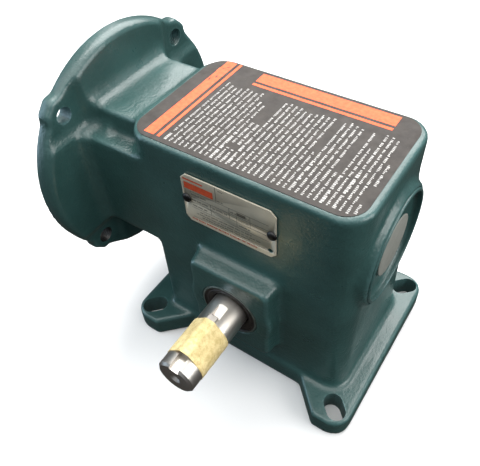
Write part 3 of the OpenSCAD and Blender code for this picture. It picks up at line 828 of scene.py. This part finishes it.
PLUG_WALL = 1.5
PLUG_PAD_R = 19.5
PLUG_PAD_X = 75.5


def make_end_plug():
    """A pressed, painted bore plug with a rolled rim and a bare flat pad in its middle."""
    out, back, front = PLUG_R - 0.02, PLUG_LOW.x, PLUG_HIGH.x - 0.1
    floor, pad_r, pad = back + PLUG_WALL, PLUG_PAD_R, PLUG_PAD_X
    profile = [(0, back), (out - 1.2, back)] + arc(out - 1.2, back + 1.2, 1.2, -90, 0, 4)
    profile += arc(out - 0.9, front - 0.9, 0.9, 0, 90, 4) + arc(out - 1.6, front - 0.5, 0.5, 90, 180, 3)
    profile += arc(out - 4.4, floor + 2.6, 2.6, 0, -90, 6) + arc(pad_r + 1.6, floor + 1.2, 1.2, -90, -170, 4)
    profile += arc(pad_r - 0.5, pad - 0.5, 0.5, 0, 90, 3) + [(0, pad)]
    made = lathe("end_plug_dish", profile, WORM_PLACE, PAINT, 128)
    made.data.materials.append(PLUG)
    for face in made.data.polygons:
        r = sqrt(face.center.y**2 + (face.center.z - WORM_H * MM) ** 2)
        face.material_index = 1 if r < pad_r * MM and face.center.x > (pad - 0.6) * MM else 0
    return made


keep_piece(make_end_plug(), "end_plug")


def make_cover():
    """The cast cover over the rear bearing, with a raised middle and spot-faced bolt holes."""
    face = 47.0
    top = face + 9
    profile = [(0, 52), (24, 52), (24, 46), (29.565, 46), (29.565, 33), (39.95, 33), (39.95, face)]
    profile += [(52.4, face), (53, face + 0.6)] + arc(51, top - 2, 2, 0, 90, 5)
    profile += [(34, top)] + arc(34, top + 2, 2, -90, -160, 4)
    profile += arc(29.2, top + 2, 2, 20, 90, 4) + [(0, top + 4)]
    made = lathe("output_cover_cast", profile, OUT_PLACE, PAINT, 128, 30)
    for i in range(6):
        cut(made, rod(bolt_place(i), 40, 60, 3.475, 32, BORED))
        cut(made, rod(bolt_place(i), top - 0.4, 60, 7.6, 48, BORED))
    made.data.shade_smooth()
    made.data.set_sharp_from_angle(angle=radians(30))
    return made


keep_piece(make_cover(), "output_cover")


def hexagon(r, turn=0):
    return [(r * cos(radians(turn + 60 * i)), r * sin(radians(turn + 60 * i))) for i in range(6)]


def make_cover_bolts():
    """Hex-head bolts with chamfered heads and washer faces."""
    pieces = []
    for i in range(6):
        place = bolt_place(i)
        head = prism("head", hexagon(6.4, 11 * i), 55.9, 60.25, place, BOLT, 20)
        crown = lathe("crown", [(0, 55), (9, 55), (9, 57.9), (5.2, 60.28), (0, 60.28)], place, BOLT, 64)
        cut(head, crown, "INTERSECT")
        washer = lathe("washer", [(0, 55.65), (5.75, 55.65), (5.75, 55.95), (0, 55.95)], place, BOLT, 48)
        shank = lathe("shank", [(0, 35.4), (2.7, 35.4), (3.1, 36), (3.1, 55.8), (0, 55.8)], place, BOLT, 32)
        mark = lathe("mark", [(0, 60.26), (4.3, 60.26), (4.1, 60.31), (0, 60.31)], place, BOLT, 48)
        pieces += [head, washer, shank, mark]
    made = join("cover_bolts_hex", pieces)
    made.data.shade_smooth()
    made.data.set_sharp_from_angle(angle=radians(25))
    return made


keep_piece(make_cover_bolts(), "cover_bolts")


def make_pipe_plugs():
    """Flush pipe plugs with hexagon sockets."""
    pieces = []
    for x, z in PLUG_PLACES:
        place = plug_place(x, z)
        body = lathe("body", [(0, 37.7), (7.95, 37.7), (7.95, 49), (7.3, 49.7), (0, 49.7)], place, BOLT, 64)
        cut(body, prism("socket", hexagon(4.6, x), 43.7, 51, place, BOLT))
        cut(body, lathe("lead", [(0, 49.2), (4.5, 49.2), (5.4, 50.2), (0, 50.2)], place, BOLT, 32))
        pieces.append(body)
    made = join("pipe_plugs_socket", pieces)
    made.data.shade_smooth()
    made.data.set_sharp_from_angle(angle=radians(25))
    return made


keep_piece(make_pipe_plugs(), "pipe_plugs")

# ---------- nameplate ----------

PLATE_FACE = PLATE_LOW.y
SCREW_X = (-33.6, 23.6)
SCREW_Z = 145.7
FACING_FRONT = Matrix.Rotation(pi / 2, 4, "X")


def make_plate():
    """A thin aluminium plate with cut corners and three holes."""
    x0, x1, z0, z1, c = PLATE_LOW.x, PLATE_HIGH.x, PLATE_LOW.z, PLATE_HIGH.z, 3.5
    outline = [(x0 + c, z0), (x1 - c, z0), (x1, z0 + c), (x1, z1 - c)]
    outline += [(x1 - c, z1), (x0 + c, z1), (x0, z1 - c), (x0, z0 + c)]
    place = Matrix.Translation((0, PLATE_HIGH.y, 0)) @ FACING_FRONT
    made = prism("nameplate_sheet", outline, 0, PLATE_HIGH.y - PLATE_LOW.y, place, ALUMINIUM)
    apply_modifier(made, "BEVEL", width=0.2 * MM, segments=2)
    hole = Matrix.Translation((0, 0, 0)) @ FACING_FRONT
    for x, z, r in ((SCREW_X[0], SCREW_Z, 1.5), (SCREW_X[1], SCREW_Z, 1.5), (22.4, 132.7, 1.6)):
        at = Matrix.Translation((x, 0, z)) @ hole
        cut(made, lathe("hole", [(0, 40), (r, 40), (r, 55), (0, 55)], at, PAINT, 32))
    return made


keep_piece(make_plate(), "nameplate")


def front_rect(x0, x1, z0, z1, lift=0.04):
    y = PLATE_FACE - lift
    return [(x0, y, z0), (x1, y, z0), (x1, y, z1), (x0, y, z1)]


def quads_object(name, quads, material):
    points = [p for quad in quads for p in quad]
    faces = [tuple(range(4 * i, 4 * i + 4)) for i in range(len(quads))]
    return new_object(name, points, faces, material, 0)


def front_ticks(draw, x0, x1, z, height):
    """A row of plain strokes that stands for a line of small print."""
    quads, x = [], x0
    while x < x1:
        for _ in range(draw.randint(3, 8)):
            if x > x1:
                break
            h = height * draw.choice((1, 1, 0.72))
            w = height * draw.uniform(0.34, 0.6)
            quads.append(front_rect(x, x + w, z, z + h))
            x += w + height * 0.24
        x += height * 0.6
    return quads


def make_plate_print():
    draw = random.Random(11)
    grey = [front_rect(-12.7, -12.3, 152.2, 163.6)]
    for z in (152.0, 147.9, 143.6, 139.5, 131.8):
        grey.append(front_rect(-30.7, 21.4, z, z + 0.28))
    for x, z0, z1 in ((-4.2, 143.6, 152), (0.6, 139.5, 147.9), (-17, 139.5, 147.9), (9.5, 143.6, 152)):
        grey.append(front_rect(x, x + 0.28, z0, z1))
    grey += front_ticks(draw, -10.6, -8.0, 161.2, 0.9)
    grey += front_ticks(draw, -11.6, -8.2, 153.1, 0.9)
    for x0, x1, z in ((-30, -20, 149.6), (-3.2, 8.6, 149.2), (-30, -19, 145.3), (-15.6, -6, 145.3)):
        grey += front_ticks(draw, x0, x1, z, 1.0)
    for x0, x1, z in ((1.5, 8.5, 145.2), (-30, -20, 141.1), (2.0, 9.0, 141.1), (-25, 10, 137.2)):
        grey += front_ticks(draw, x0, x1, z, 0.95)
    for x0, x1, z in ((-28, 16, 135.1), (-24, 9, 133.2)):
        grey += front_ticks(draw, x0, x1, z, 0.85)
    grey += [front_rect(0.9, 6.8, 149.0, 151.4)]
    red = [front_rect(-34.5, -14.5, 153.3, 158.2), front_rect(-35, -21, 159.8, 161.0)]
    red += front_ticks(draw, -31.8, 14.5, 129.3, 1.3)
    pieces = [quads_object("plate_print_grey", grey, GREY_INK)]
    pieces.append(quads_object("plate_print_red", red, RED_INK))
    for piece in pieces:
        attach(piece, "housing")


make_plate_print()


def make_screws():
    """Domed drive screws with a thin rim."""
    pieces = []
    for x in SCREW_X:
        place = Matrix.Translation((x, PLATE_FACE, SCREW_Z)) @ FACING_FRONT
        dome = [(0, -2), (1.45, -2), (1.45, -0.05), (2.95, -0.05), (3.05, 0.3)]
        dome += [(2.96 * cos(radians(a)), 0.45 + 1.45 * sin(radians(a))) for a in range(0, 90, 12)]
        pieces.append(lathe("screw", dome + [(0, 1.9)], place, BOLT, 64))
    return join("nameplate_screws_domed", pieces)


keep_piece(make_screws(), "nameplate_screws")

# ---------- top label ----------

LABEL_R = 13
LABEL_TOP = HOUSING_TOP + 0.22


def ridge(x, y, x0, y0, x1, y1, width, height):
    """A soft crease from one point to another."""
    dx, dy = x1 - x0, y1 - y0
    t = max(0, min(1, ((x - x0) * dx + (y - y0) * dy) / (dx * dx + dy * dy)))
    away = (x - x0 - t * dx) ** 2 + (y - y0 - t * dy) ** 2
    fade = min(1, 4 * t, 4 * (1 - t))
    return height * fade * 2.718 ** (-away / width**2)


def film_height(x, y):
    """Height of the film's face: flat, with creases, a raised ring and a dent."""
    h = 0.05 * noise.noise(Vector((x * 0.09, y * 0.09, 0)))
    h += ridge(x, y, -71, 19, -64, 35, 0.9, 0.42)
    h += ridge(x, y, -67, 14, -61, 27, 0.8, 0.3)
    h += ridge(x, y, -70, 30, -60, 38, 0.8, 0.3)
    away = sqrt((x - 60.6) ** 2 + (y - 35.3) ** 2)
    h += 0.32 * 2.718 ** (-(((away - 4.3) / 0.75) ** 2))
    dent = sqrt((x + 41.9) ** 2 + (y - 39.4) ** 2)
    h -= 0.14 * 2.718 ** (-((dent / 1.8) ** 2))
    return LABEL_TOP + h


def make_label():
    """The film: a rounded rectangle of fine mesh that follows film_height."""
    x0, x1, half = LABEL_LOW.x, LABEL_HIGH.x, LABEL_HIGH.y
    stations = [x0 + LABEL_R * (1 - cos(radians(a))) for a in range(0, 90, 9)]
    count = 86
    stations += [x0 + LABEL_R + (x1 - x0 - 2 * LABEL_R) * i / count for i in range(count + 1)]
    stations += [x1 - LABEL_R * (1 - cos(radians(a))) for a in range(81, -1, -9)]
    across = 72
    points = []
    for x in stations:
        into = max(0, x0 + LABEL_R - x, x - x1 + LABEL_R)
        reach = half - LABEL_R + sqrt(max(0, LABEL_R**2 - into**2))
        for k in range(across + 1):
            y = reach * (2 * k / across - 1)
            points.append((x, y, film_height(x, y)))
    top = len(points)
    points += [(x, y, HOUSING_TOP + 0.01) for x, y, _ in points]
    wide = across + 1
    faces = []
    for i in range(len(stations) - 1):
        for k in range(across):
            a = i * wide + k
            quad = (a, a + wide, a + wide + 1, a + 1)
            faces.append(quad)
            faces.append(tuple(top + v for v in reversed(quad)))
    last = (len(stations) - 1) * wide
    rim = [k for k in range(wide)] + [i * wide + across for i in range(1, len(stations))]
    rim += [last + k for k in range(across - 1, -1, -1)]
    rim += [i * wide for i in range(len(stations) - 2, 0, -1)]
    for a, b in zip(rim, rim[1:] + rim[:1]):
        faces.append((a, b, top + b, top + a))
    made = new_object("top_label_film", points, faces, FILM, 0)
    fix_normals(made)
    made.data.shade_smooth()
    made.data.set_sharp_from_angle(angle=radians(50))
    return made


keep_piece(make_label(), "top_label")


def film_rect(x0, x1, y0, y1, lift=0.05):
    """Quads that lie on the film, cut short so that they follow its creases."""
    nx = max(1, round((x1 - x0) / 2.5))
    ny = max(1, round((y1 - y0) / 2.5))
    quads = []
    for i in range(nx):
        for j in range(ny):
            xa, xb = x0 + (x1 - x0) * i / nx, x0 + (x1 - x0) * (i + 1) / nx
            ya, yb = y0 + (y1 - y0) * j / ny, y0 + (y1 - y0) * (j + 1) / ny
            corners = ((xa, ya), (xb, ya), (xb, yb), (xa, yb))
            quads.append([(x, y, film_height(x, y) + lift) for x, y in corners])
    return quads


def film_line(draw, x, y0, y1, height, bold=False):
    """A row of plain strokes along Y that stands for a line of print."""
    quads, y = [], y0
    while y < y1:
        for _ in range(draw.randint(3, 9)):
            if y > y1:
                break
            h = height * draw.choice((1, 1, 0.8, 0.6))
            w = draw.uniform(0.55, 1.0) * (1.35 if bold else 1)
            quads += film_rect(x - height / 2, x - height / 2 + h, y, y + w)
            y += w + (0.3 if bold else 0.42)
        y += draw.uniform(0.8, 1.3)
    return quads


def make_label_print():
    """Plain stripes and rows of plain strokes: no letters, numbers or marks."""
    draw = random.Random(7)
    white = []
    starts = {0: -33.5, 9: -16, 12: -22, 23: -16, 28: -18, 30: -14}
    ends = {8: 15, 9: 13, 22: -10, 27: -18, 29: 8}
    for i in range(34):
        x = -50.4 + 3.46 * i
        if i in (10, 11):
            white += film_line(draw, x, -40.6, -29, 1.7)
            white += film_line(draw, x, -24, -4, 1.7)
            continue
        if i == 33:
            white += film_line(draw, x, -39, -31, 1.5)
            white += film_line(draw, x, -17, 1.3, 1.5)
            continue
        start = -40.6
        if i in starts:
            white += film_line(draw, x, start, starts[i], 1.8, True)
            start = starts[i] + 1.4
        white += film_line(draw, x, start, ends.get(i, 23 - draw.uniform(0, 2.5)), 1.35)
    orange = []
    for x0, x1 in ((-65.6, -58.6), (-56.4, -54.4)):
        orange += film_rect(x0, x1, -40.6, 43.2)
    for y0, y1 in ((32.4, 41.8), (28, 30.2)):
        orange += film_rect(-37.5, 53.4, y0, y1)
    pieces = [quads_object("label_print_white", white, WHITE_INK)]
    pieces.append(quads_object("label_print_orange", orange, ORANGE_INK))
    for piece in pieces:
        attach(piece, "housing")


make_label_print()

# ---------- studio ----------

scene = bpy.context.scene
scene.view_settings.view_transform = "Standard"


def make_world():
    """Pale light from above that falls to dusk below the horizon."""
    world = bpy.data.worlds.new("studio")
    scene.world = world
    world.use_nodes = True
    tree = world.node_tree
    place = tree.nodes.new("ShaderNodeTexCoord")
    split = tree.nodes.new("ShaderNodeSeparateXYZ")
    ramp = tree.nodes.new("ShaderNodeValToRGB")
    shift = tree.nodes.new("ShaderNodeMath")
    shift.operation = "MULTIPLY_ADD"
    shift.inputs[1].default_value = 0.5
    shift.inputs[2].default_value = 0.5
    tree.links.new(place.outputs["Generated"], split.inputs[0])
    tree.links.new(split.outputs["Z"], shift.inputs[0])
    tree.links.new(shift.outputs[0], ramp.inputs["Fac"])
    points = ramp.color_ramp.elements
    points.new(0.5)
    points.new(0.62)
    stops = [(0.0, (0.05, 0.046, 0.042)), (0.48, (0.085, 0.082, 0.08))]
    stops += [(0.56, (0.24, 0.26, 0.28)), (1.0, (0.5, 0.52, 0.54))]
    for point, (at, colour) in zip(points, stops):
        point.position = at
        point.color = (*colour, 1)
    tree.links.new(ramp.outputs["Color"], tree.nodes["Background"].inputs["Color"])
    tree.nodes["Background"].inputs["Strength"].default_value = 1.0


def softbox(name, direction, distance, width, height, power, colour):
    """A rectangular area light that looks at the middle of the gearbox."""
    data = bpy.data.lights.new(name, "AREA")
    data.shape = "RECTANGLE"
    data.size = width
    data.size_y = height
    data.energy = power
    data.color = colour
    lamp = bpy.data.objects.new(name, data)
    aim = Vector(direction).normalized()
    place = Matrix.Translation(aim * distance + Vector((0, 0, 0.1)))
    lamp.matrix_world = place @ aim.to_track_quat("Z", "Y").to_matrix().to_4x4()
    scene.collection.objects.link(lamp)


make_world()
softbox("key_light", (-0.2, 0.56, 0.8), 1.0, 1.15, 0.9, 19, (1.0, 0.99, 0.975))
softbox("overhead_light", (-0.15, -0.2, 0.97), 1.0, 1.3, 1.3, 10, (1.0, 0.99, 0.96))
softbox("window_light", (-0.92, -0.45, 0.22), 1.1, 0.5, 0.9, 4, (0.60, 0.80, 1.0))
softbox("right_light", (0.95, 0.1, 0.5), 1.1, 0.8, 0.8, 8, (1.0, 0.99, 0.97))


def make_floor():
    """A pale paper floor and a pale dome behind it, which leave the reflections to the lights."""
    n = Nodes("floor_paper")
    paper = n.finish(n.ramp(n.noise(3, 2), [(0.3, 0.90), (0.7, 0.93)]), 0.8)
    bpy.ops.mesh.primitive_plane_add(size=12)
    floor = bpy.context.object
    floor.name = "floor"
    floor.data.materials.append(paper)
    n = Nodes("backdrop_white")
    white = n.finish((0.0, 0.0, 0.0), 1.0, Emission_Color=(0.94, 0.95, 0.96, 1), Emission_Strength=1.0)
    bpy.ops.mesh.primitive_uv_sphere_add(segments=32, ring_count=16, radius=6)
    dome = bpy.context.object
    dome.name = "backdrop"
    dome.data.materials.append(white)
    dome.visible_shadow = False
    for piece in (floor, dome):
        piece.visible_glossy = False
        piece.visible_diffuse = False


make_floor()
